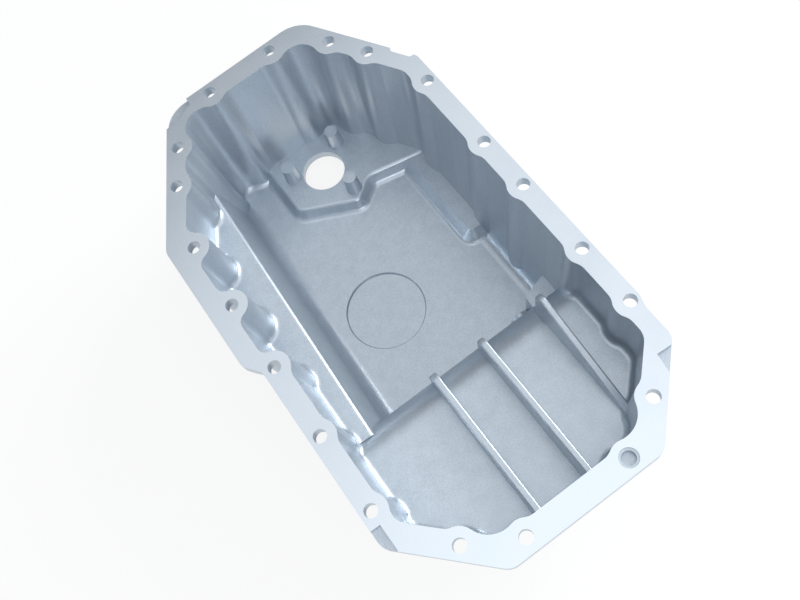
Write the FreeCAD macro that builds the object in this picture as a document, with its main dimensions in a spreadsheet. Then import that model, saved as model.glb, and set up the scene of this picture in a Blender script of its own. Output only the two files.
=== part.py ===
# Engine oil pan: a die-cast aluminium sump with its drain plug and sealing washer.
# The drawing frame has its origin in the middle of the gasket face, +Z up to the engine block,
# +Y to the deep end of the sump and +X to the long wall with the drain. The pieces are then
# placed so that the origin is under the middle of the pan, level with its bottom.
# Lengths are in millimetres.
import FreeCAD, Part
import math
import os

Vector = FreeCAD.Vector
UP = Vector(0, 0, 1)
FAR = Vector(0, 1, 0)

# Lengths that only have to be large enough to run out of the pan, and the nearness at which two
# points are one, a point lies on a level and two faces run on smoothly (cosine of their angle).
REACH = 260.0
MARGIN = 20.0
START = "-%.1f" % REACH
LENGTH = "%.1f" % (2 * REACH)
TOUCHING = 1e-6
LEVEL = 0.01
SMOOTH = 0.97
doc = FreeCAD.newDocument("oil_pan")

# Driving dimensions. An edge is measured square to itself from the origin, and a rim is the part
# of the flange between that edge and the cavity wall inside it.
DIMENSIONS = {
    # Flange plate
    "flange_thickness": 8.5,
    "flange_edge_right": 107.9,
    "flange_edge_right_inset": 105.6,
    "flange_edge_right_slant": 137.4,
    "flange_edge_far_right": 151.0,
    "flange_edge_far": 202.2,
    "flange_edge_far_left": 153.4,
    "flange_edge_left_upper": 118.0,
    "flange_edge_left_step": 95.6,
    "flange_edge_left_lower": 109.2,
    "flange_edge_near_left": 183.5,
    "flange_edge_near": 204.5,
    "flange_edge_near_right": 183.8,
    "flange_corner_radius": 12.0,
    "flange_far_corner_radius": 25.0,
    "flange_step_radius": 8.0,
    "bolt_hole_radius": 4.6,
    "blind_hole_depth": 5.5,
    "blind_hole_mouth_radius": 6.2,
    "blind_hole_mouth_depth": 0.8,
    "face_relief_depth": 3.0,
    # Side walls
    "rim_width_right": 14.6,
    "rim_width_far_right": 14.9,
    "rim_width_far": 16.2,
    "rim_width_far_left": 14.7,
    "rim_width_left_upper": 14.7,
    "rim_width_left_lower": 15.2,
    "rim_width_near_left": 16.6,
    "rim_width_near": 17.5,
    "rim_width_near_right": 16.2,
    "wall_draft": 3.2,
    "wall_thickness": 4.5,
    "lobe_radius": 11.2,
    "far_lobe_radius": 12.5,
    "lobe_blend_radius": 12.0,
    "column_blend_radius": 7.5,
    "corner_blend_radius": 12.0,
    "bridge_blend_radius": 18.0,
    "far_bridge_blend_radius": 15.0,
    "scallop_radius": 8.4,
    "scallop_blend_radius": 9.0,
    "scallop_column_blend_radius": 8.0,
    "scallop_bridge_blend_radius": 18.5,
    # Floors
    "sump_depth": 113.0,
    "floor_thickness": 5.0,
    "shelf_depth": 50.0,
    "shelf_thickness": 4.5,
    "shelf_edge": 73.0,
    "shelf_foot": 62.0,
    "shelf_turn": 2.1,
    "shelf_edge_radius": 4.0,
    "shelf_foot_radius": 14.0,
    "ramp_foot": 62.0,
    "ramp_shoulder": 69.0,
    "shallow_depth": 47.0,
    "shallow_depth_near": 45.0,
    "shoulder_radius": 24.0,
    "ramp_foot_radius": 6.0,
    "ramp_thickness": 5.0,
    "floor_edge_radius": 4.6,
    "shelf_floor_edge_radius": 4.6,
    "shelf_end": 79.0,
    "outer_edge_radius": 4.0,
    # Sensor plateau
    "plateau_height": 10.0,
    "plateau_draft": 26.0,
    "plateau_edge_radius": 3.0,
    "sensor_plate_thickness": 7.0,
    "sensor_recess_draft": 5.0,
    "sensor_bore_radius": 17.6,
    "sensor_place_x": 14.6,
    "sensor_place_y": 147.0,
    "peg_height": 18.5,
    "peg_top_radius": 5.4,
    "peg_draft": 3.5,
    "peg_tap_radius": 2.5,
    "peg_tap_depth": 17.0,
    "disc_radius": 31.8,
    "disc_depth": 1.8,
    "disc_place_x": -14.6,
    "disc_place_y": 17.4,
    "disc_rim_slope": 1.0,
    "form_foot_radius": 5.0,
    "ledge_height": 9.0,
    "ledge_draft": 42.0,
    "ledge_edge": 75.0,
    "ledge_start": 25.0,
    "ledge_end": 112.0,
    "ledge_corner_radius": 3.0,
    "cove_radius": 11.0,
    "cove_start": -62.0,
    "cove_end": 16.0,
    "gable_depth": 80.0,
    # Ribs
    "rib_thickness": 3.8,
    "rib_draft": 1.5,
    "rib_top_radius": 1.4,
    "rib_nose_radius": 7.0,
    "rib_foot_depth": 80.0,
    # Drain
    "drain_place_x": 60.5,
    "drain_depth": 103.5,
    "drain_boss_radius": 7.8,
    "drain_boss_end": 55.0,
    "drain_pad_radius": 13.0,
    "drain_seat": 77.0,
    "drain_thread_radius": 6.0,
    "drain_clearance": 0.05,
    "drain_slot_width": 7.5,
    "drain_slot_start": 58.0,
    "drain_slot_end": 70.0,
    "drain_slot_height": 10.5,
    "plug_thread_end": 56.5,
    "plug_point_radius": 2.8,
    "plug_point_flat": 0.4,
    "plug_tip": 2.5,
    "plug_chamfer": 1.0,
    "plug_head_height": 7.0,
    "plug_head_across_flats": 17.0,
    "plug_collar_radius": 10.5,
    "plug_collar_height": 2.0,
    "washer_radius": 10.0,
    "washer_thickness": 1.5,
    "washer_gap": 0.25,
}

sheet = doc.addObject("Spreadsheet::Sheet", "dimensions")
for row, (name, number) in enumerate(DIMENSIONS.items(), start=1):
    sheet.set("A%d" % row, name)
    sheet.set("B%d" % row, str(number))
    sheet.setAlias("B%d" % row, name)
doc.recompute()


def size(name):
    """Return one driving dimension from the sheet."""
    return float(sheet.get(name))


# Outward direction of each straight edge and wall, in degrees from +X.
WALL_TURN = {
    "right": 0,
    "far_right": 30,
    "far": 90,
    "far_left": 150,
    "left_upper": 180,
    "left_lower": 180,
    "near_left": 225,
    "near": 270,
    "near_right": 315,
}

# Bolt holes of the flange, counted clockwise from the far right corner: the edge that each is
# measured from, its distance inside that edge and its place along it.
BOLTS = {
    1: ("far_right", 8.5, 114.2),
    2: ("far_right", 7.9, 82.5),
    3: ("right", 6.7, 93.0),
    4: ("right", 6.7, 27.0),
    5: ("right", 6.7, -15.8),
    6: ("right", 6.7, -75.8),
    7: ("right", 6.7, -121.6),
    8: ("near_right", 8.3, -73.3),
    9: ("near", 9.5, 37.5),
    10: ("near", 9.5, -37.5),
    11: ("near_left", 8.7, 74.2),
    12: ("left_lower", 7.4, 128.5),
    13: ("left_lower", 7.4, 71.9),
    14: ("left_upper", 17.1, 15.8),
    15: ("left_upper", 17.1, -39.0),
    16: ("left_upper", 18.0, -93.0),
    17: ("far_left", 7.7, -81.0),
    18: ("far_left", 8.5, -112.8),
    19: ("far", 7.4, 26.5),
    20: ("far", 7.4, -27.5),
}
BLIND_BOLT = 9
FAR_BOLTS = (19, 20)
COLUMN_BOLTS = (14, 15, 16)

# The mouth of the pan, once round: a name is a straight wall and a number the lobe of a bolt.
MOUTH = [
    "right", 7, "right", 6, "right", 5, "right", 4, "right", 3, "right",
    "far_right", 2, "far_right", 1, 20, "far", 19, 18,
    "far_left", 17, "far_left", 16,
    "left_upper", 15, "left_upper", 14,
    "left_lower", 13, "left_lower", 12,
    "near_left", 11, 10, "near", 9, 8, "near_right",
]


def direction(turn):
    angle = math.radians(turn)
    return Vector(math.cos(angle), math.sin(angle), 0)


def wall_place(name, distance, along):
    """Point at a distance from the origin square to a wall, and along it, turning leftward."""
    outward = direction(WALL_TURN[name])
    return outward * distance + Vector(-outward.y, outward.x, 0) * along


def bolt_place(number):
    edge, inset, along = BOLTS[number]
    return wall_place(edge, size("flange_edge_" + edge) - inset, along)


def crossing(first, first_distance, second, second_distance):
    """Point at the given distances from the origin along two directions."""
    area = first.x * second.y - first.y * second.x
    x = (first_distance * second.y - second_distance * first.y) / area
    y = (second_distance * first.x - first_distance * second.x) / area
    return Vector(x, y, 0)


def arc_between(centre, start, end, leftward):
    """Arc about a centre from start to end, turning left or right."""
    first = math.atan2(start.y - centre.y, start.x - centre.x)
    last = math.atan2(end.y - centre.y, end.x - centre.x)
    full = 2 * math.pi
    sweep = (last - first) % full if leftward else -((first - last) % full)
    middle = first + sweep / 2
    radius = (start - centre).Length
    half_way = centre + Vector(radius * math.cos(middle), radius * math.sin(middle), 0)
    return Part.Arc(start, half_way, end)


def blend_walls(first, second, radius):
    """Fillet between two walls: centre, two tangent points and whether it turns left."""
    turn = first[1].x * second[1].y - first[1].y * second[1].x
    leftward = turn > 0
    offset = radius if leftward else -radius
    centre = crossing(first[1], first[2] - offset, second[1], second[2] - offset)
    return centre, centre + first[1] * offset, centre + second[1] * offset, leftward


def blend_wall_lobe(wall, lobe, radius, lobe_comes_last):
    """Fillet between a wall and a lobe that stands into the pan."""
    along = Vector(-wall[1].y, wall[1].x, 0)
    base = wall[1] * (wall[2] - radius)
    away = lobe[1] - base
    reach = lobe[2] + radius
    gap = away.dot(wall[1])
    shift = math.sqrt(reach ** 2 - gap ** 2)
    step = away.dot(along) + (-shift if lobe_comes_last else shift)
    centre = base + along * step
    on_wall = centre + wall[1] * radius
    on_lobe = centre + (lobe[1] - centre) * (radius / reach)
    if lobe_comes_last:
        return centre, on_wall, on_lobe, True
    return centre, on_lobe, on_wall, True


def blend_lobes(first, second, radius):
    """Arc that bridges two lobes across a corner of the pan."""
    first_reach = first[2] + radius
    second_reach = second[2] + radius
    span = second[1] - first[1]
    length = span.Length
    along = span * (1 / length)
    inward = Vector(-along.y, along.x, 0)
    step = (first_reach ** 2 - second_reach ** 2 + length ** 2) / (2 * length)
    centre = first[1] + along * step + inward * math.sqrt(first_reach ** 2 - step ** 2)
    on_first = centre + (first[1] - centre) * (radius / first_reach)
    on_second = centre + (second[1] - centre) * (radius / second_reach)
    return centre, on_first, on_second, True


def blend(first, second, radius):
    if first[0] == "wall" and second[0] == "wall":
        return blend_walls(first, second, radius)
    if first[0] == "wall":
        return blend_wall_lobe(first, second, radius, True)
    if second[0] == "wall":
        return blend_wall_lobe(second, first, radius, False)
    return blend_lobes(first, second, radius)


def closed_outline(members, radii):
    """Lines and arcs of a closed outline: one fillet after each member, then the next member."""
    count = len(members)
    fillets = [blend(members[i], members[(i + 1) % count], radii[i]) for i in range(count)]
    edges = []
    for index in range(count):
        centre, start, end, leftward = fillets[index]
        edges.append(arc_between(centre, start, end, leftward))
        member = members[(index + 1) % count]
        following = fillets[(index + 1) % count][1]
        if member[0] == "wall":
            edges.append(Part.LineSegment(end, following))
        else:
            edges.append(arc_between(member[1], end, following, False))
    return edges


def mouth_outline(outside):
    """Outline of the cavity at the gasket face, or of the outside of its walls."""
    members = []
    for entry in MOUTH:
        if isinstance(entry, str):
            distance = size("flange_edge_" + entry) - size("rim_width_" + entry)
            if outside:
                distance += size("wall_thickness")
            members.append(("wall", direction(WALL_TURN[entry]), distance))
        else:
            radius = size("far_lobe_radius") if entry in FAR_BOLTS else size("lobe_radius")
            if outside:
                radius = size("scallop_radius")
            members.append(("lobe", bolt_place(entry), radius))
    prefix = "scallop_" if outside else ""
    lobe_blend = size("scallop_blend_radius" if outside else "lobe_blend_radius")
    column_blend = size(prefix + "column_blend_radius")
    bridge_blend = size(prefix + "bridge_blend_radius")
    far_bridge_blend = bridge_blend if outside else size("far_bridge_blend_radius")
    radii = []
    for index, entry in enumerate(MOUTH):
        following = MOUTH[(index + 1) % len(MOUTH)]
        walls = [side for side in (entry, following) if isinstance(side, str)]
        lobes = [side for side in (entry, following) if not isinstance(side, str)]
        if len(lobes) == 2:
            radii.append(far_bridge_blend if lobes[0] in FAR_BOLTS + (1,) else bridge_blend)
        elif len(walls) == 2:
            radii.append(size("corner_blend_radius"))
        elif lobes[0] in COLUMN_BOLTS and walls[0] != "left_lower":
            radii.append(column_blend)
        else:
            radii.append(lobe_blend)
    return closed_outline(members, radii)


def flange_outline():
    """Outer edge of the flange plate."""
    edges = [
        (0, "flange_edge_right"),
        (30, "flange_edge_far_right"),
        (90, "flange_edge_far"),
        (150, "flange_edge_far_left"),
        (180, "flange_edge_left_upper"),
        (216.9, "flange_edge_left_step"),
        (180, "flange_edge_left_lower"),
        (225, "flange_edge_near_left"),
        (270, "flange_edge_near"),
        (315, "flange_edge_near_right"),
        (0, "flange_edge_right_inset"),
        (-16, "flange_edge_right_slant"),
    ]
    members = [("wall", direction(turn), size(name)) for turn, name in edges]
    corner = size("flange_corner_radius")
    far_corner = size("flange_far_corner_radius")
    step = size("flange_step_radius")
    radii = [step, far_corner, far_corner, corner, step, step] + [corner] * 4 + [step, step]
    return closed_outline(members, radii)


def rounded_path(points, radii):
    """Closed polygon, run leftward, with a fillet at each corner whose radius isn't zero."""
    count = len(points)
    corners = []
    for index in range(count):
        here = points[index]
        before = (here - points[index - 1]).normalize()
        after = (points[(index + 1) % count] - here).normalize()
        if radii[index] == 0:
            corners.append((here, here, None))
            continue
        turn = before.x * after.y - before.y * after.x
        half = math.acos(max(-1.0, min(1.0, before.dot(after)))) / 2
        reach = radii[index] * math.tan(half)
        start = here - before * reach
        end = here + after * reach
        side = 1 if turn > 0 else -1
        centre = start + Vector(-before.y, before.x, 0) * (side * radii[index])
        corners.append((start, end, arc_between(centre, start, end, turn > 0)))
    edges = []
    for index in range(count):
        if corners[index][2]:
            edges.append(corners[index][2])
        end = corners[(index + 1) % count][0]
        if (end - corners[index][1]).Length > TOUCHING:
            edges.append(Part.LineSegment(corners[index][1], end))
    return edges


def origin_plane(body, role):
    return [plane for plane in body.Origin.OriginFeatures if plane.Role == role][0]


def add_sketch(body, name, geometry, role="XY_Plane", offset=None):
    """Sketch on an origin plane of a body, moved off that plane by an expression."""
    sketch = body.newObject("Sketcher::SketchObject", name)
    sketch.AttachmentSupport = [(origin_plane(body, role), "")]
    sketch.MapMode = "FlatFace"
    sketch.addGeometry(geometry, False)
    if offset:
        sketch.setExpression("AttachmentOffset.Base.z", offset)
    return sketch


def add_pad(body, name, sketch, length, reverse=False, taper=None):
    pad = body.newObject("PartDesign::Pad", name)
    pad.Profile = sketch
    pad.Reversed = reverse
    pad.setExpression("Length", length)
    if taper:
        pad.setExpression("TaperAngle", taper)
    body.Tip = pad
    return pad


def add_body(name):
    return doc.addObject("PartDesign::Body", name)


def drafted_body(name, depth, outside):
    """Block below the mouth outline, its sides drawn in by the draft."""
    body = add_body(name)
    sketch = add_sketch(body, name + "_outline", mouth_outline(outside))
    pad = add_pad(body, name + "_pad", sketch, depth, reverse=True)
    doc.recompute()
    sides = []
    for number, face in enumerate(pad.Shape.Faces, start=1):
        if abs(face_normal(face, face.CenterOfMass).z) < 0.5:
            sides.append("Face%d" % number)
        elif face.CenterOfMass.z > -1:
            mouth = "Face%d" % number
    draft = body.newObject("PartDesign::Draft", name + "_draft")
    draft.Base = (pad, sides)
    draft.NeutralPlane = (pad, [mouth])
    draft.Reversed = True
    draft.setExpression("Angle", "dimensions.wall_draft")
    body.Tip = draft
    return body


FACE_RELIEFS = {
    "far_left": [(-42.5, 215), (-80, 215), (-80, 188.5), (-64.6, 189.5), (-55.5, 191), (-43.2, 196)],
    "near_left": [(-102, -138.5), (-120, -138.2), (-120, -165), (-101.9, -157)],
    "near_right": [(91, -157.4), (88.9, -172), (105, -172), (105, -158.2)],
}
EDGE_NOTCH = [(95.8, 131), (103.3, 117.8), (106, 117.4), (120, 125), (100, 140), (97.2, 134.4)]
PLATEAU = [
    (-22.5, 205, 0),
    (-22, 129.5, 10),
    (22.5, 105.5, 5),
    (41, 118.8, 12),
    (84, 108.5, 8),
    (120, 104, 0),
    (120, 205, 0),
]
SENSOR_RECESS = [
    (-16, 170, 6),
    (-16, 132, 8),
    (21.5, 107.8, 5),
    (40, 121.2, 8),
    (52, 120.5, 6),
    (52, 142, 10),
    (45, 170, 6),
]
GABLE = [
    (95, -46, 0),
    (69, -52.5, 3),
    (67, -80, 0),
    (95, -80, 0),
]
PEGS = {"far": (37.2, 162.3), "left": (-9.0, 158.0), "near": (25.4, 117.0)}

# Ribs of the shallow end: place across the pan, nose, and depth of the top at nose and wall.
RIBS = {
    "right": {"across": 63.9, "nose": 76.0, "nose_depth": 14.0, "wall_depth": 48.0},
    "middle": {"across": 17.5, "nose": 73.0, "nose_depth": 27.0, "wall_depth": 20.0},
    "left": {"across": -21.2, "nose": 71.0, "nose_depth": 33.0, "wall_depth": 27.0},
}


def outline_points(points):
    return [Vector(point[0], point[1], 0) for point in points]


def outline_radii(points):
    return [point[2] for point in points]


def block_body(name, points, radii, role, start, length):
    """Block with a rounded profile on an origin plane, run along that plane's normal."""
    body = add_body(name)
    profile = add_sketch(body, name + "_profile", rounded_path(points, radii), role, start)
    add_pad(body, name + "_pad", profile, length)
    return body


def foot_reach(lean, rise, radius):
    """How far a fillet at the foot of a leaning face reaches over the floor."""
    return radius * math.tan(math.atan2(rise, lean) / 2)


def shelf_points(outside, top):
    """Profile of what lies below the shelf, seen along Y: of the cavity or of the outside."""
    floor = -size("sump_depth") - (size("floor_thickness") if outside else 0)
    level = -size("shelf_depth") - (size("shelf_thickness") if outside else 0)
    side = -size("wall_thickness") if outside else 0
    foot = side - size("shelf_foot")
    edge = side - size("shelf_edge")
    skirt = foot_reach(foot - edge, level - floor, size("shelf_foot_radius"))
    points = [
        Vector(-REACH, floor - MARGIN, 0),
        Vector(foot + skirt, floor - MARGIN, 0),
        Vector(foot + skirt, floor, 0),
        Vector(foot, floor, 0),
        Vector(edge, level, 0),
    ]
    radii = [0, 0, 0, size("shelf_foot_radius"), size("shelf_edge_radius")]
    if top:
        brim = foot_reach(foot - edge, level - floor, size("shelf_edge_radius"))
        points += [Vector(edge - brim, level, 0), Vector(edge - brim, MARGIN, 0), Vector(-REACH, MARGIN, 0)]
        radii += [0, 0, 0]
    else:
        points.append(Vector(-REACH, level, 0))
        radii.append(0)
    return points, radii


def ramp_points(outside):
    """Profile of what lies below the shallow end, seen along X."""
    floor = -size("sump_depth") - (size("floor_thickness") if outside else 0)
    drop = size("ramp_thickness") if outside else 0
    foot = -size("ramp_foot") - drop
    shoulder = -size("ramp_shoulder") - drop
    level = -size("shallow_depth") - drop
    skirt = foot_reach(foot - shoulder, level - floor, size("ramp_foot_radius"))
    points = [
        Vector(-REACH, floor - MARGIN, 0),
        Vector(foot + skirt, floor - MARGIN, 0),
        Vector(foot + skirt, floor, 0),
        Vector(foot, floor, 0),
        Vector(shoulder, level, 0),
        Vector(-REACH, -size("shallow_depth_near") - drop, 0),
    ]
    radii = [0, 0, 0, size("ramp_foot_radius"), size("shoulder_radius") - drop, 0]
    return points, radii


def below_mouth(point):
    return point.z < -1


def boolean(kind, name, base, tool):
    result = doc.addObject("Part::" + kind, name)
    if kind == "MultiFuse":
        result.Shapes = [base] + list(tool)
    else:
        result.Base = base
        result.Tool = tool
    doc.recompute()
    return result


def face_normal(face, point):
    across, along = face.Surface.parameter(point)
    return face.normalAt(across, along)


def sharp_edges(shape, wanted):
    """Numbers of the edges whose two faces meet at an angle and whose middle is wanted."""
    numbers = []
    for number, edge in enumerate(shape.Edges, start=1):
        faces = shape.ancestorsOfType(edge, Part.Face)
        middle = edge.valueAt((edge.FirstParameter + edge.LastParameter) / 2)
        if len(faces) != 2 or not wanted(middle):
            continue
        if face_normal(faces[0], middle).dot(face_normal(faces[1], middle)) < SMOOTH:
            numbers.append(number)
    return numbers


def rounded(name, base, wanted, radius):
    """Round the sharp edges of a solid whose middle point is wanted."""
    result = doc.addObject("Part::Fillet", name)
    result.Base = base
    doc.recompute()
    numbers = sharp_edges(base.Shape, wanted)
    result.Edges = [(number, size(radius), size(radius)) for number in numbers]
    doc.recompute()
    return result


def cylinder(name, radius, height, base, axis):
    """Cylinder with bound radius and height, from a base point along an axis."""
    result = doc.addObject("Part::Cylinder", name)
    result.setExpression("Radius", radius)
    result.setExpression("Height", height)
    result.Placement = FreeCAD.Placement(base, FreeCAD.Rotation(Vector(0, 0, 1), axis))
    return result


def flange_plate():
    body = add_body("flange_plate")
    plate = add_sketch(body, "flange_outline", flange_outline())
    add_pad(body, "flange_pad", plate, "dimensions.flange_thickness", reverse=True)
    through = [bolt_place(number) for number in BOLTS if number != BLIND_BOLT]
    holes = [Part.Circle(place, UP, size("bolt_hole_radius")) for place in through]
    blind = bolt_place(BLIND_BOLT)
    notch = outline_points(EDGE_NOTCH)
    add_pocket(body, "bolt_holes", holes, None)
    add_pocket(body, "blind_hole", [Part.Circle(blind, UP, size("bolt_hole_radius"))],
               "dimensions.blind_hole_depth")
    add_pocket(body, "blind_hole_mouth", [Part.Circle(blind, UP, size("blind_hole_mouth_radius"))],
               "dimensions.blind_hole_mouth_depth")
    add_pocket(body, "edge_notch", rounded_path(notch, [2, 2, 0, 0, 0, 0]), None)
    for name, points in FACE_RELIEFS.items():
        corners = outline_points(points)
        path = rounded_path(corners, [0] * len(corners))
        add_pocket(body, name + "_relief", path, "dimensions.face_relief_depth")
    return body


def add_pocket(body, name, geometry, depth, offset=None, reverse=False):
    """Pocket to a bound depth, or right through where no depth is given."""
    sketch = add_sketch(body, name + "_sketch", geometry, offset=offset)
    doc.recompute()
    before = body.Shape.Volume
    pocket = body.newObject("PartDesign::Pocket", name)
    pocket.Profile = sketch
    pocket.Reversed = reverse
    if depth:
        pocket.setExpression("Length", depth)
    else:
        pocket.Type = "ThroughAll"
    body.Tip = pocket
    doc.recompute()
    if body.Shape.Volume >= before:
        raise ValueError(name + " cuts nothing")
    return pocket


def outside_solid():
    """The outside of the pan: flange, drafted walls, and what is cut away below the floors."""
    walls = drafted_body("outer_walls", "dimensions.sump_depth + dimensions.floor_thickness", True)
    doc.recompute()
    soft = rounded("outer_walls_rounded", walls, lambda point: point.z < -size("sump_depth"),
                   "outer_edge_radius")
    points, radii = shelf_points(True, False)
    below_shelf = block_body("below_shelf", points, radii, "XZ_Plane", START,
                             "%.1f + dimensions.shelf_end - dimensions.wall_thickness" % REACH)
    below_shelf.Placement = SHELF_TURN
    points, radii = ramp_points(True)
    below_ramp = block_body("below_ramp", points, radii, "YZ_Plane", START, LENGTH)
    doc.recompute()
    without_shelf = boolean("Cut", "outside_without_shelf", soft, below_shelf)
    return boolean("Cut", "outside_without_ramp", without_shelf, below_ramp)


def plateau_body():
    """Raised plate round the level sensor, with sloping sides."""
    body = add_body("plateau")
    top = "-(dimensions.sump_depth - dimensions.plateau_height)"
    outline = rounded_path(outline_points(PLATEAU), outline_radii(PLATEAU))
    sketch = add_sketch(body, "plateau_top", outline, offset=top)
    add_pad(body, "plateau_pad", sketch, "dimensions.plateau_height + dimensions.floor_thickness / 2",
            reverse=True, taper="dimensions.plateau_draft")
    doc.recompute()
    level = size("plateau_height") - size("sump_depth")
    return rounded("plateau_rounded", body, lambda point: abs(point.z - level) < LEVEL,
                   "plateau_edge_radius")


def ledge_body():
    """Low ledge on the floor along the right wall, with a gentle slope towards the floor."""
    edge = size("ledge_edge")
    start = size("ledge_start")
    end = size("ledge_end")
    corners = [Vector(edge, end, 0), Vector(edge, start, 0), Vector(REACH / 2, start, 0),
               Vector(REACH / 2, end, 0)]
    body = add_body("ledge")
    outline = rounded_path(corners, [0, size("ledge_corner_radius"), 0, 0])
    top = "-(dimensions.sump_depth - dimensions.ledge_height)"
    sketch = add_sketch(body, "ledge_top", outline, offset=top)
    add_pad(body, "ledge_pad", sketch, "dimensions.ledge_height + dimensions.floor_thickness / 2",
            reverse=True, taper="dimensions.ledge_draft")
    return body


def floor_forms():
    """Plateau and ledge on a floor slab, all run together by one fillet along their foot."""
    slab = doc.addObject("Part::Box", "floor_slab")
    slab.setExpression("Length", "%.1f" % (2 * REACH))
    slab.setExpression("Width", "%.1f" % (2 * REACH))
    slab.setExpression("Height", "dimensions.floor_thickness")
    floor = -size("sump_depth")
    slab.Placement = FreeCAD.Placement(Vector(-REACH, -REACH, floor - size("floor_thickness")),
                                       FreeCAD.Rotation())
    joined = boolean("MultiFuse", "floor_forms", slab, [plateau_body(), ledge_body()])

    def at_foot(point):
        inside = abs(point.x) < REACH / 2 and abs(point.y) < size("flange_edge_far")
        return inside and abs(point.z - floor) < LEVEL
    return rounded("floor_forms_rounded", joined, at_foot, "form_foot_radius")


def cove_body():
    """Wide round foot of the right wall, where the ledge stops short of the drain."""
    radius = size("cove_radius")
    floor = -size("sump_depth")
    draft = (size("sump_depth") - radius) * math.tan(math.radians(size("wall_draft")))
    wall = size("flange_edge_right") - size("rim_width_right") - draft
    low = Vector(wall - radius, floor, 0)
    high = Vector(wall, floor + radius, 0)
    under = Vector(wall - radius, floor - size("floor_thickness") / 2, 0)
    beyond = size("wall_thickness") / 2
    edges = [
        arc_between(Vector(wall - radius, floor + radius, 0), low, high, True),
        Part.LineSegment(high, high + Vector(beyond, 0, 0)),
        Part.LineSegment(high + Vector(beyond, 0, 0), Vector(wall + beyond, under.y, 0)),
        Part.LineSegment(Vector(wall + beyond, under.y, 0), under),
        Part.LineSegment(under, low),
    ]
    body = add_body("cove")
    sketch = add_sketch(body, "cove_profile", edges, "XZ_Plane", "-dimensions.cove_end")
    add_pad(body, "cove_pad", sketch, "dimensions.cove_end - dimensions.cove_start")
    return body


def gable_body():
    """Low flat-topped buttress in the corner between the right wall and the step."""
    body = add_body("gable")
    outline = rounded_path(outline_points(GABLE), outline_radii(GABLE))
    sketch = add_sketch(body, "gable_top", outline, offset="-dimensions.gable_depth")
    add_pad(body, "gable_pad", sketch,
            "dimensions.sump_depth + dimensions.floor_thickness / 2 - dimensions.gable_depth",
            reverse=True, taper="dimensions.wall_draft")
    return body


def peg_body(name, place):
    """Tapered boss that holds a screw of the sensor from below."""
    peg = doc.addObject("Part::Cone", name)
    height = "dimensions.peg_height + dimensions.sensor_plate_thickness / 2"
    peg.setExpression("Radius1", "dimensions.peg_top_radius + (%s) * tan(dimensions.peg_draft)" % height)
    peg.setExpression("Radius2", "dimensions.peg_top_radius")
    peg.setExpression("Height", height)
    level = size("plateau_height") - size("sump_depth") - size("sensor_plate_thickness") / 2
    peg.Placement = FreeCAD.Placement(Vector(*place, level), FreeCAD.Rotation())
    return peg


def rib_body(name, rib):
    """Stiffening rib along Y, thicker towards its foot, with a round nose over the step."""
    nose = -rib["nose"]
    run = size("flange_edge_near") - size("rim_width_near") + size("wall_thickness") / 2
    points = [
        Vector(-run, -size("rib_foot_depth"), 0),
        Vector(nose, -size("rib_foot_depth"), 0),
        Vector(nose, -rib["nose_depth"], 0),
        Vector(-run, -rib["wall_depth"], 0),
    ]
    body = add_body(name)
    profile = rounded_path(points, [0, 0, size("rib_nose_radius"), 0])
    half = "%.3f - dimensions.rib_thickness / 2" % rib["across"]
    sketch = add_sketch(body, name + "_profile", profile, "YZ_Plane", half)
    pad = add_pad(body, name + "_pad", sketch, "dimensions.rib_thickness")
    doc.recompute()
    sides = []
    for number, face in enumerate(pad.Shape.Faces, start=1):
        if abs(face_normal(face, face.CenterOfMass).x) > SMOOTH:
            sides.append("Face%d" % number)
    draft = body.newObject("PartDesign::Draft", name + "_draft")
    draft.Base = (pad, sides)
    draft.NeutralPlane = (origin_plane(body, "XY_Plane"), [""])
    draft.setExpression("Angle", "dimensions.rib_draft")
    body.Tip = draft
    doc.recompute()
    return rounded(name + "_rounded", body,
                   lambda point: point.z > 1 - size("rib_foot_depth") and point.y > 1 - run,
                   "rib_top_radius")


def drain_axis(distance):
    """Point on the drain axis at a distance from the middle of the pan."""
    return Vector(size("drain_place_x"), -distance, -size("drain_depth"))


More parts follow.
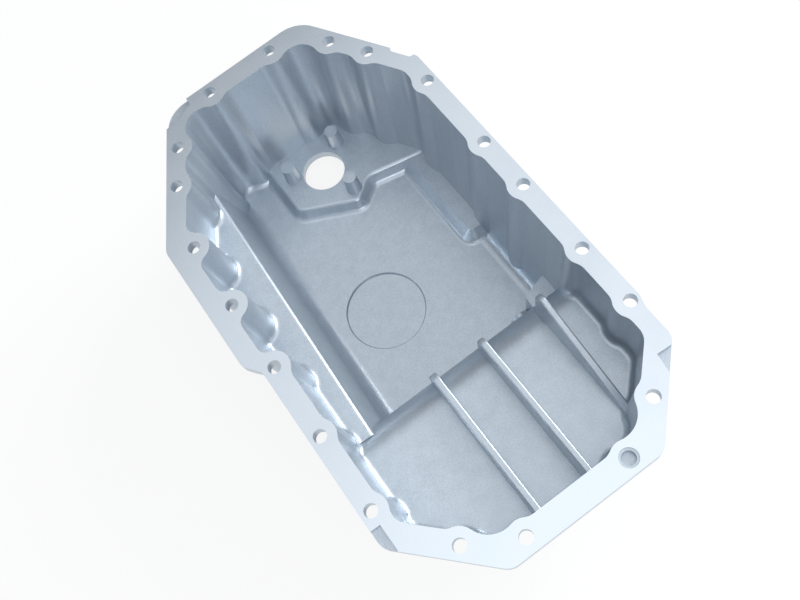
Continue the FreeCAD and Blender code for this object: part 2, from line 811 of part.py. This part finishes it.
def casting():
    """The pan itself, cast in one piece."""
    plate = flange_plate()
    outside = outside_solid()
    pad = cylinder("drain_pad", "dimensions.drain_pad_radius",
                   "dimensions.drain_seat - dimensions.ramp_foot", drain_axis(size("drain_seat")), FAR)
    body = boolean("MultiFuse", "outside", plate, [outside, pad])

    cavity = drafted_body("cavity", "dimensions.sump_depth", False)
    points, radii = ramp_points(False)
    ramp = block_body("ramp", points, radii, "YZ_Plane", START, LENGTH)
    points, radii = shelf_points(False, True)
    shelf = block_body("shelf", points, radii, "XZ_Plane",
                       "-%.1f" % REACH, "%.1f + dimensions.shelf_end" % REACH)
    shelf.Placement = SHELF_TURN
    doc.recompute()
    deep = boolean("Cut", "deep_cavity", cavity, ramp)
    deep = rounded("deep_cavity_rounded", deep, below_mouth, "floor_edge_radius")
    deep = boolean("Cut", "deep_cavity_beside_shelf", deep, shelf)

    level = doc.addObject("Part::Box", "above_shelf_level")
    level.setExpression("Length", "%.1f" % (2 * REACH))
    level.setExpression("Width", "%.1f" % (2 * REACH))
    level.setExpression("Height", "dimensions.shelf_depth")
    level.Placement = FreeCAD.Placement(Vector(-REACH, -REACH, -size("shelf_depth")), FreeCAD.Rotation())
    doc.recompute()
    over = boolean("Common", "cavity_above_shelf_level", cavity, level)
    over = rounded("cavity_above_shelf_rounded", over, below_mouth, "shelf_floor_edge_radius")
    over = boolean("Common", "cavity_above_shelf", over, shelf)

    forms = floor_forms()
    gable = gable_body()
    cove = cove_body()
    pegs = [peg_body(name + "_peg", place) for name, place in PEGS.items()]
    ribs = [rib_body(name + "_rib", rib) for name, rib in RIBS.items()]
    boss = cylinder("drain_boss", "dimensions.drain_boss_radius",
                    "dimensions.drain_seat - dimensions.drain_boss_end",
                    drain_axis(size("drain_seat")), FAR)
    doc.recompute()
    raised = boolean("MultiFuse", "raised_forms", forms, [cove, gable, boss] + pegs + ribs)
    deep = boolean("Cut", "deep_cavity_round_forms", deep, raised)

    body = boolean("Cut", "pan_with_deep_cavity", body, deep)
    body = boolean("Cut", "pan_with_both_cavities", body, over)

    recess = add_body("sensor_recess")
    outline = rounded_path(outline_points(SENSOR_RECESS), outline_radii(SENSOR_RECESS))
    plate_bottom = "-(dimensions.sump_depth - dimensions.plateau_height + dimensions.sensor_plate_thickness)"
    sketch = add_sketch(recess, "sensor_recess_top", outline, offset=plate_bottom)
    add_pad(recess, "sensor_recess_pad", sketch, "%.1f" % MARGIN, reverse=True,
            taper="dimensions.sensor_recess_draft")
    plateau_top = size("plateau_height") - size("sump_depth")
    centre = Vector(size("sensor_place_x"), size("sensor_place_y"), plateau_top - MARGIN / 2)
    bore = cylinder("sensor_bore", "dimensions.sensor_bore_radius", "%.1f" % MARGIN, centre, UP)
    tap_start = plateau_top - size("sensor_plate_thickness")
    taps = []
    for name, place in PEGS.items():
        taps.append(cylinder(name + "_tap", "dimensions.peg_tap_radius", "dimensions.peg_tap_depth",
                             Vector(*place, tap_start), UP))
    disc = doc.addObject("Part::Cone", "floor_disc")
    disc.setExpression("Radius1", "dimensions.disc_radius - dimensions.disc_rim_slope")
    disc.setExpression("Radius2", "dimensions.disc_radius + dimensions.disc_rim_slope")
    disc.setExpression("Height", "2 * dimensions.disc_depth")
    disc.Placement = FreeCAD.Placement(
        Vector(size("disc_place_x"), size("disc_place_y"), -size("sump_depth") - size("disc_depth")),
        FreeCAD.Rotation())
    thread = cylinder("drain_thread", "dimensions.drain_thread_radius + dimensions.drain_clearance",
                      "dimensions.drain_seat - dimensions.drain_boss_end + %.1f" % MARGIN,
                      drain_axis(size("drain_seat") + MARGIN / 2), FAR)
    slot = doc.addObject("Part::Box", "drain_slot")
    slot.setExpression("Length", "dimensions.drain_slot_width")
    slot.setExpression("Width", "dimensions.drain_slot_end - dimensions.drain_slot_start")
    slot.setExpression("Height", "dimensions.drain_slot_height")
    slot.Placement = FreeCAD.Placement(
        drain_axis(size("drain_slot_end")) - Vector(size("drain_slot_width") / 2, 0, 0),
        FreeCAD.Rotation())
    doc.recompute()
    cuts = boolean("MultiFuse", "machined_cuts", recess, [bore, disc, thread, slot] + taps)
    result = boolean("Cut", "oil_pan_casting", body, cuts)
    return result


def drain_placement(distance):
    """Placement that turns a body's own Z axis along the drain, into the pan."""
    return FreeCAD.Placement(drain_axis(distance), FreeCAD.Rotation(UP, FAR))


def drain_plug():
    """Hexagon screw with a collar, screwed through the step wall."""
    body = add_body("drain_plug")
    seat = size("drain_seat") + size("washer_thickness")
    thread_end = seat - size("plug_thread_end")
    length = seat - size("drain_boss_end") + size("plug_tip")
    collar = size("plug_collar_radius")
    collar_height = size("plug_collar_height")
    thread = size("drain_thread_radius")
    chamfer = size("plug_chamfer")
    point = size("plug_point_radius")
    profile = [
        Vector(0, -collar_height, 0),
        Vector(collar, -collar_height, 0),
        Vector(collar, 0, 0),
        Vector(thread, 0, 0),
        Vector(thread, thread_end - chamfer, 0),
        Vector(thread - chamfer, thread_end, 0),
        Vector(point, thread_end, 0),
        Vector(point, length, 0),
        Vector(0, length, 0),
    ]
    radii = [0] * (len(profile) - 2) + [point - size("plug_point_flat"), 0]
    sketch = add_sketch(body, "plug_profile", rounded_path(profile, radii), "XZ_Plane")
    turned = body.newObject("PartDesign::Revolution", "plug_turned")
    turned.Profile = sketch
    turned.ReferenceAxis = (sketch, ["V_Axis"])
    body.Tip = turned
    corner = size("plug_head_across_flats") / math.sqrt(3)
    corners = [direction(60 * side) * corner for side in range(6)]
    head = add_sketch(body, "plug_head_outline", rounded_path(corners, [0] * 6),
                      offset="-dimensions.plug_collar_height")
    add_pad(body, "plug_head", head, "dimensions.plug_head_height", reverse=True)
    body.Placement = drain_placement(seat)
    return body


def drain_washer():
    """Soft sealing ring between the collar of the plug and its seat."""
    body = add_body("drain_plug_washer")
    bore = size("drain_thread_radius") + size("washer_gap")
    rings = [Part.Circle(Vector(0, 0, 0), UP, size("washer_radius")), Part.Circle(Vector(0, 0, 0), UP, bore)]
    sketch = add_sketch(body, "washer_outline", rings)
    add_pad(body, "washer_pad", sketch, "dimensions.washer_thickness")
    body.Placement = drain_placement(size("drain_seat") + size("washer_thickness"))
    return body


SHELF_TURN = FreeCAD.Placement(Vector(0, 0, 0), FreeCAD.Rotation(UP, -size("shelf_turn")))

PAN_ORIGIN = Vector((size("flange_edge_left_upper") - size("flange_edge_right")) / 2,
                    (size("flange_edge_near") - size("flange_edge_far")) / 2,
                    size("sump_depth") + size("floor_thickness"))
pieces = {
    "oil_pan_casting": casting(),
    "drain_plug": drain_plug(),
    "drain_plug_washer": drain_washer(),
}
for name, piece in pieces.items():
    piece.Label = name
    piece.Placement.Base = piece.Placement.Base + PAN_ORIGIN
doc.recompute()
for item in doc.Objects:
    if "Invalid" in item.State or "Error" in item.State:
        raise ValueError(item.Label + " failed")
os.makedirs("parts", exist_ok=True)
for name, piece in pieces.items():
    shape = piece.Shape
    if shape.isNull() or not shape.isValid() or len(shape.Solids) != 1:
        raise ValueError(name + " is not one valid solid")
    shape.exportStep("parts/%s.step" % name)
    print(name, round(shape.Volume), shape.BoundBox)
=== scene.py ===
import bpy
import math
import numpy as np
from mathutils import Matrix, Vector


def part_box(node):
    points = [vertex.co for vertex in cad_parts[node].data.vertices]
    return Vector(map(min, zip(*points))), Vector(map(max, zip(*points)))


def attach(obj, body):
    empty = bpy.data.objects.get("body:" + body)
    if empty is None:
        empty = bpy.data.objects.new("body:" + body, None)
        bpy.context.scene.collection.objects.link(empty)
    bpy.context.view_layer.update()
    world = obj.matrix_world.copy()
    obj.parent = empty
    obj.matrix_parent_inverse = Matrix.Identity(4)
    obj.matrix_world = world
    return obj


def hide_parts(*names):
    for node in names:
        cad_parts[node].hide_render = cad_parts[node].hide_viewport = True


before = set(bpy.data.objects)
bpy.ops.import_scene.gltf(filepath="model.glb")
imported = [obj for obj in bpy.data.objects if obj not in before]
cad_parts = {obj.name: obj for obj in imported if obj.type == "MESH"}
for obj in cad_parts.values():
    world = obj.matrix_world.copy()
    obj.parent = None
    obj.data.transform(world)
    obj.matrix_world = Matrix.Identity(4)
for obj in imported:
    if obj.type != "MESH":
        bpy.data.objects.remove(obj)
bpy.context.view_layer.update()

scene = bpy.context.scene

# Camera
# The photograph looks down into the pan from over its near end, turned so that the pan's long
# axis runs up to the left. The place and the turn come from the pattern of the flange holes.
camera_place = (-0.0484, -0.2531, 0.6515)
camera_turn = (20.964, 10.054, -35.382)
photo_width = 800
focal_pixels = 900.3
sensor_width = 36.0

camera_data = bpy.data.cameras.new("photo_camera")
camera_data.sensor_width = sensor_width
camera_data.lens = sensor_width * focal_pixels / photo_width
camera = bpy.data.objects.new("photo_camera", camera_data)
camera.location = camera_place
camera.rotation_euler = [math.radians(angle) for angle in camera_turn]
scene.collection.objects.link(camera)
scene.camera = camera
scene.view_settings.view_transform = "Standard"

# Pan casting
# Die casting in aluminium, blasted to an even blue-grey grain all over. Afterwards the gasket face is
# milled, so it is brighter and smoother than the cast skin, with faint arcs from the cutter; soft paler
# patches of painted sheen on it stand in for the lamps' reflections.
cast_grey = (0.44, 0.50, 0.56)
cast_pale = (0.58, 0.645, 0.71)
cast_metal = 0.7
cast_roughness = 0.35
grain_size = 0.0009
grain_share = 0.7
grain_height = 0.0001
mottle_size = 0.012
mottle_share = 0.1
streak_size = 0.009
streak_length = 0.25
streak_share = 0.2
shade_low = 0.3
shade_high = 0.7
milled_grey = (0.63, 0.705, 0.78)
milled_pale = (0.76, 0.81, 0.85)
milled_roughness = 0.27
milled_skin = 0.0002
# Painted sheen: soft paler patches on the milled face stand in for the lamps' reflections; the same
# patches also vary its roughness.
sheen_patch_size = 0.03
painted_sheen_share = 0.7
painted_sheen_least = 0.15
cutter_pass = 0.0016
cutter_centre = (0.0, -0.9, 0.0)
cutter_trace = 0.08


class Field:
    """A shader socket that reads like a number: each operator adds the Math node it stands for."""

    def __init__(self, finish, socket):
        self.finish = finish
        self.socket = socket

    def maths(self, operation, first, second):
        return self.finish.add("ShaderNodeMath", {"operation": operation}, {0: first, 1: second})

    def __add__(self, other):
        return self.maths("ADD", self, other)

    def __radd__(self, other):
        return self.maths("ADD", other, self)

    def __sub__(self, other):
        return self.maths("SUBTRACT", self, other)

    def __rsub__(self, other):
        return self.maths("SUBTRACT", other, self)

    def __mul__(self, other):
        return self.maths("MULTIPLY", self, other)

    def __rmul__(self, other):
        return self.maths("MULTIPLY", other, self)


class Finish:
    """A material whose nodes are added one by one; it starts with the Object coordinates."""

    def __init__(self, name):
        self.material = bpy.data.materials.new(name)
        self.material.use_nodes = True
        self.tree = self.material.node_tree
        self.tree.nodes.clear()
        self.place = self.add("ShaderNodeTexCoord", {}, {}, "Object")

    def add(self, kind, settings, values, output=0):
        """Add a node: its settings first, then the values and links of its sockets."""
        node = self.tree.nodes.new(kind)
        for name, value in settings.items():
            setattr(node, name, value)
        for name, value in values.items():
            socket = node.inputs[name]
            if isinstance(value, Field):
                self.tree.links.new(value.socket, socket)
            elif socket.type == "RGBA":
                socket.default_value = (*value, 1.0)
            else:
                socket.default_value = value
        return Field(self, node.outputs[output])

    def noise(self, wave, detail=2.0, roughness=0.5, place=None):
        """Noise from 0 to 1 whose waves are about so many metres long."""
        values = {"Vector": place or self.place, "Scale": 1.0 / wave, "Detail": detail,
                  "Roughness": roughness}
        return self.add("ShaderNodeTexNoise", {}, values, "Fac")

    def step(self, value, low, high):
        """Smooth step from 0 at low to 1 at high."""
        values = {"Value": value, "From Min": low, "From Max": high}
        return self.add("ShaderNodeMapRange", {"interpolation_type": "SMOOTHSTEP"}, values)

    def mix(self, factor, first, second):
        """Colour between two colours: first where factor is 0, second where it is 1."""
        return self.add("ShaderNodeMix", {"data_type": "RGBA"}, {0: factor, 6: first, 7: second}, 2)

    def stretched(self, scale):
        """Object coordinates with each axis scaled, for a grain that runs along one axis."""
        return self.add("ShaderNodeMapping", {}, {"Vector": self.place, "Scale": scale}, "Vector")

    def axis(self, name):
        return self.add("ShaderNodeSeparateXYZ", {}, {"Vector": self.place}, name)

    def distance(self, centre):
        """Distance from a point."""
        ends = {0: self.place, 1: centre}
        return self.add("ShaderNodeVectorMath", {"operation": "DISTANCE"}, ends, "Value")

    def wave(self, value, length):
        """Sine of a length in metres, from -1 to 1."""
        angle = value * (2.0 * math.pi / length)
        return self.add("ShaderNodeMath", {"operation": "SINE"}, {0: angle})

    def bump(self, height, distance, strength=1.0):
        values = {"Height": height, "Distance": distance, "Strength": strength}
        return self.add("ShaderNodeBump", {}, values, "Normal")

    def surface(self, shader):
        output = self.tree.nodes.new("ShaderNodeOutputMaterial")
        self.tree.links.new(shader.socket, output.inputs["Surface"])

    def metal(self, colour, roughness, normal, share=1.0):
        """Metal, with a share below 1 where a rough skin also scatters light as paint does."""
        values = {"Base Color": colour, "Metallic": share, "Roughness": roughness, "Normal": normal}
        self.surface(self.add("ShaderNodeBsdfPrincipled", {}, values, "BSDF"))


def cast_aluminium(top):
    """Blasted skin, with a milled skin where Z is within milled_skin of the top."""
    finish = Finish("cast_aluminium")
    milled = finish.step(finish.axis("Z"), top - milled_skin, top - milled_skin / 2)
    grain = finish.noise(grain_size, 3.0, 0.65)
    mottle = finish.noise(mottle_size, 3.0, 0.6)
    across = streak_length / streak_size
    streaks = finish.noise(streak_length, 2.0, 0.5, finish.stretched((across, across, 1.0)))
    shade = grain * grain_share + mottle * mottle_share + streaks * streak_share
    cast = finish.mix(finish.step(shade, shade_low, shade_high), cast_grey, cast_pale)
    arcs = finish.wave(finish.distance(cutter_centre), cutter_pass)
    # Painted sheen: the patches and the cutter arcs mix the milled face between grey and pale. The
    # patches stand in for reflections of the lamps; the arcs are real tool marks.
    sheen_and_rough_patches = finish.noise(sheen_patch_size, 3.0, 0.55)
    painted_sheen_and_arcs = sheen_and_rough_patches * painted_sheen_share + arcs * cutter_trace + painted_sheen_least
    face = finish.mix(painted_sheen_and_arcs, milled_grey, milled_pale)
    colour = finish.mix(milled, cast, face)
    rough_cast = cast_roughness + (grain - 0.5) * 0.12 + (mottle - 0.5) * 0.06
    rough_face = milled_roughness + (sheen_and_rough_patches - 0.5) * 0.1
    roughness = rough_cast + milled * (rough_face - rough_cast)
    relief = grain * (1.0 - milled) + arcs * milled * 0.02
    share = cast_metal + milled * (1.0 - cast_metal)
    finish.metal(colour, roughness, finish.bump(relief, grain_height, 0.5), share)
    return finish.material


def dress(piece, material):
    piece.data.materials.clear()
    piece.data.materials.append(material)


gasket_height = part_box("oil_pan_casting")[1].z
dress(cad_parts["oil_pan_casting"], cast_aluminium(gasket_height))

# Drain plug
# Hexagon screw with a collar, turned from steel bar, with a rolled thread and zinc plating. It goes
# through the step wall from outside, and its round point shows inside the pan.
head_height = 0.007
head_flats = 0.017
head_chamfer = 0.0009
collar_radius = 0.0105
collar_height = 0.002
edge_break = 0.0003
neck_radius = 0.0050
neck_length = 0.0018
thread_radius = 0.006
thread_depth = 0.00085
thread_pitch = 0.0015
thread_flat = 0.125
thread_lead_in = 0.001
point_radius = 0.0028
point_length = 0.004
columns = 96
rows_per_pitch = 14
rows_on_point = 9
tip_flat = 0.02
crease_angle = 35
cloud_size = 0.006
cloud_height = 0.00005
tool_mark = 0.0002
zinc_bright = (0.74, 0.75, 0.76)
zinc_dull = (0.50, 0.52, 0.55)


def closed_tube(name, centre, along, radii):
    """Closed solid about an axis along Y: ring i at y = along[i], with radius radii[i, j] at the
    angle j / columns of a turn from X towards Z, and a point in the middle of each end ring."""
    rings, count = radii.shape
    angle = np.arange(count) / count * 2.0 * np.pi
    x = centre[0] + radii * np.cos(angle)
    z = centre[2] + radii * np.sin(angle)
    y = np.repeat(along[:, None], count, axis=1)
    points = np.stack([x, y, z], axis=-1).reshape(-1, 3)
    ends = [(centre[0], along[0], centre[2]), (centre[0], along[-1], centre[2])]
    i, j = np.meshgrid(np.arange(rings - 1), np.arange(count), indexing="ij")
    after = (j + 1) % count
    quads = np.stack([i * count + j, (i + 1) * count + j, (i + 1) * count + after, i * count + after], -1)
    ring = np.arange(count)
    turned = (ring + 1) % count
    last = (rings - 1) * count
    first_cap = np.stack([np.full(count, rings * count), ring, turned], -1)
    last_cap = np.stack([np.full(count, rings * count + 1), last + turned, last + ring], -1)
    mesh = bpy.data.meshes.new(name)
    faces = quads.reshape(-1, 4).tolist() + first_cap.tolist() + last_cap.tolist()
    mesh.from_pydata(points.tolist() + ends, [], faces)
    mesh.shade_smooth()
    mesh.set_sharp_from_angle(angle=math.radians(crease_angle))
    piece = bpy.data.objects.new(name, mesh)
    scene.collection.objects.link(piece)
    return piece


def screw(name, low, high):
    """Turned profile, cut by a hexagon at the head and by a helix on the shank: the hexagon's radius
    is its apothem over the cosine of the angle from the nearest flat, and the thread's depth is a
    triangle wave of y / pitch + angle / turn, cut flat at crest and root. The point ends in a quarter
    circle."""
    centre = ((low.x + high.x) / 2, 0.0, (low.z + high.z) / 2)
    angle = np.arange(columns) / columns * 2.0 * np.pi
    flats = head_flats / 2 / np.cos((angle + np.pi / 6) % (np.pi / 3) - np.pi / 6)
    corner = head_flats / 2 / math.cos(math.pi / 6)
    start = low.y
    under = start + head_height
    seat = under + collar_height
    shank_end = high.y - point_length
    head = [(start, head_flats / 2 - edge_break), (start + edge_break, head_flats / 2),
            (start + head_chamfer, corner), (under - edge_break, corner), (under, corner)]
    collar = [(under, collar_radius - edge_break), (under + edge_break, collar_radius),
              (seat - edge_break, collar_radius), (seat, collar_radius - edge_break), (seat, neck_radius)]
    cut = np.arange(seat + neck_length, shank_end, thread_pitch / rows_per_pitch)
    bend = np.linspace(0.0, np.pi / 2, rows_on_point)
    ball = high.y - point_radius + point_radius * np.sin(bend)
    along = np.concatenate([[y for y, _ in head + collar], cut, [shank_end, shank_end], ball])
    radii = np.zeros((len(along), columns))
    for row, (_, radius) in enumerate(head):
        radii[row] = np.minimum(radius, flats)
    for row, (_, radius) in enumerate(collar, start=len(head)):
        radii[row] = radius
    first = len(head) + len(collar)
    phase = (cut[:, None] / thread_pitch + angle[None, :] / (2.0 * np.pi)) % 1.0
    flank = (1.0 + 2.0 * thread_flat) * np.abs(2.0 * phase - 1.0) - thread_flat
    tooth = np.clip(flank, 0.0, 1.0)
    lead = np.clip((shank_end - cut) / thread_lead_in, 0.0, 1.0)
    crest = thread_radius - thread_depth * (1.0 - lead)
    threaded = np.minimum(thread_radius - thread_depth * tooth, crest[:, None])
    radii[first:first + len(cut)] = threaded
    radii[first + len(cut)] = thread_radius - thread_depth
    radii[first + len(cut) + 1] = point_radius
    radii[first + len(cut) + 2:] = (point_radius * np.maximum(np.cos(bend), tip_flat))[:, None]
    return closed_tube(name, centre, along, radii)


def zinc_plate():
    finish = Finish("zinc_plate")
    clouds = finish.noise(cloud_size, 3.0, 0.6)
    tool_marks = finish.wave(finish.axis("Y"), tool_mark)
    colour = finish.mix(finish.step(clouds, 0.35, 0.7), zinc_dull, zinc_bright)
    roughness = 0.26 + (clouds - 0.5) * 0.16
    finish.metal(colour, roughness, finish.bump(clouds * 0.6 + tool_marks * 0.1, cloud_height, 0.4))
    return finish.material


plug = screw("drain_plug_screw", *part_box("drain_plug"))
dress(plug, zinc_plate())
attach(plug, "plug")
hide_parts("drain_plug")

# Sealing washer
# Soft aluminium ring, stamped from sheet, squeezed between the plug's collar and its seat. The
# stamping leaves its edges a little round.
washer_bore = 0.00625
washer_corner = 0.25
face_gap = 0.00002
washer_bright = (0.80, 0.81, 0.82)
washer_dull = (0.62, 0.63, 0.65)
section_steps = 32
rim_angle = 50
scuff_size = 0.0035
scuff_height = 0.00004


def flat_ring(name, low, high):
    """Ring about an axis along Y whose section is a superellipse: radius and y run as the signed
    power washer_corner of the cosine and the sine of the section's angle."""
    middle = ((low.x + high.x) / 2, (low.y + high.y) / 2, (low.z + high.z) / 2)
    outer = (high.x - low.x) / 2
    turn = np.arange(columns)[:, None] / columns * 2.0 * np.pi
    section = np.arange(section_steps)[None, :] / section_steps * 2.0 * np.pi
    reach = np.sign(np.cos(section)) * np.abs(np.cos(section)) ** washer_corner
    rise = np.sign(np.sin(section)) * np.abs(np.sin(section)) ** washer_corner
    radius = (outer + washer_bore) / 2 + (outer - washer_bore) / 2 * reach
    x = middle[0] + radius * np.cos(turn)
    y = middle[1] + ((high.y - low.y) / 2 - face_gap) * rise + 0.0 * turn
    z = middle[2] + radius * np.sin(turn)
    points = np.stack([x, y, z], axis=-1).reshape(-1, 3)
    i, j = np.meshgrid(np.arange(columns), np.arange(section_steps), indexing="ij")
    next_i = (i + 1) % columns
    next_j = (j + 1) % section_steps
    faces = np.stack([i * section_steps + j, i * section_steps + next_j,
                      next_i * section_steps + next_j, next_i * section_steps + j], -1).reshape(-1, 4)
    mesh = bpy.data.meshes.new(name)
    mesh.from_pydata(points.tolist(), [], faces.tolist())
    mesh.shade_smooth()
    mesh.set_sharp_from_angle(angle=math.radians(rim_angle))
    piece = bpy.data.objects.new(name, mesh)
    scene.collection.objects.link(piece)
    return piece


def soft_aluminium():
    finish = Finish("soft_aluminium")
    scuffs = finish.noise(scuff_size, 3.0, 0.6)
    colour = finish.mix(scuffs, washer_dull, washer_bright)
    finish.metal(colour, 0.3 + scuffs * 0.2, finish.bump(scuffs, scuff_height, 0.4))
    return finish.material


washer = flat_ring("drain_plug_seal", *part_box("drain_plug_washer"))
dress(washer, soft_aluminium())
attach(washer, "sealing_washer")
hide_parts("drain_plug_washer")

# Floor and light
# Pale paper floor under plain soft light: a wide box overhead with a brighter middle, a lamp at the
# near end and one on the right, in a dimmer surround. The camera and the metal see the paper as white.
floor_half = 9.0
floor_colour = (0.90, 0.90, 0.90)
floor_speck = (0.88, 0.88, 0.88)
floor_whiteness = 0.85
paper_tooth = 0.017
lamps = {
    "overhead": {"place": (0.35, 0.0, 2.2), "width": 3.6, "watts": 21.0},
    "crown": {"place": (0.1, -0.2, 2.1), "width": 1.4, "watts": 1.5},
    "near": {"place": (-0.1, -2.0, 0.95), "width": 1.8, "watts": 22.0},
    "right": {"place": (2.0, 0.3, 1.0), "width": 1.4, "watts": 50.0},
}
surround = (0.94, 1.0, 1.08)
world_level = 0.34

mesh = bpy.data.meshes.new("floor")
corners = [(-floor_half, -floor_half, 0), (floor_half, -floor_half, 0),
           (floor_half, floor_half, 0), (-floor_half, floor_half, 0)]
mesh.from_pydata(corners, [], [(0, 1, 2, 3)])
floor = bpy.data.objects.new("floor", mesh)
scene.collection.objects.link(floor)

paper = Finish("paper")
tooth = paper.noise(paper_tooth)
matt = paper.add("ShaderNodeBsdfDiffuse", {}, {"Color": paper.mix(tooth, floor_speck, floor_colour)})
glow = paper.add("ShaderNodeEmission", {}, {"Color": (1.0, 1.0, 1.0), "Strength": 1.0})
seen = paper.add("ShaderNodeLightPath", {}, {}, "Is Camera Ray")
seen = seen + paper.add("ShaderNodeLightPath", {}, {}, "Is Glossy Ray")
seen = seen + paper.add("ShaderNodeLightPath", {}, {}, "Is Transmission Ray")
paper.surface(paper.add("ShaderNodeMixShader", {}, {0: seen * floor_whiteness, 1: matt, 2: glow}))
mesh.materials.append(paper.material)

for name, lamp in lamps.items():
    light = bpy.data.lights.new(name, "AREA")
    light.shape = "DISK"
    light.size = lamp["width"]
    light.energy = lamp["watts"]
    holder = bpy.data.objects.new(name, light)
    holder.location = lamp["place"]
    aim = -holder.location
    holder.rotation_euler = aim.to_track_quat("-Z", "Y").to_euler()
    scene.collection.objects.link(holder)

world = bpy.data.worlds.new("studio")
world.use_nodes = True
scene.world = world
background = world.node_tree.nodes["Background"]
background.inputs["Color"].default_value = (*surround, 1.0)
background.inputs["Strength"].default_value = world_level
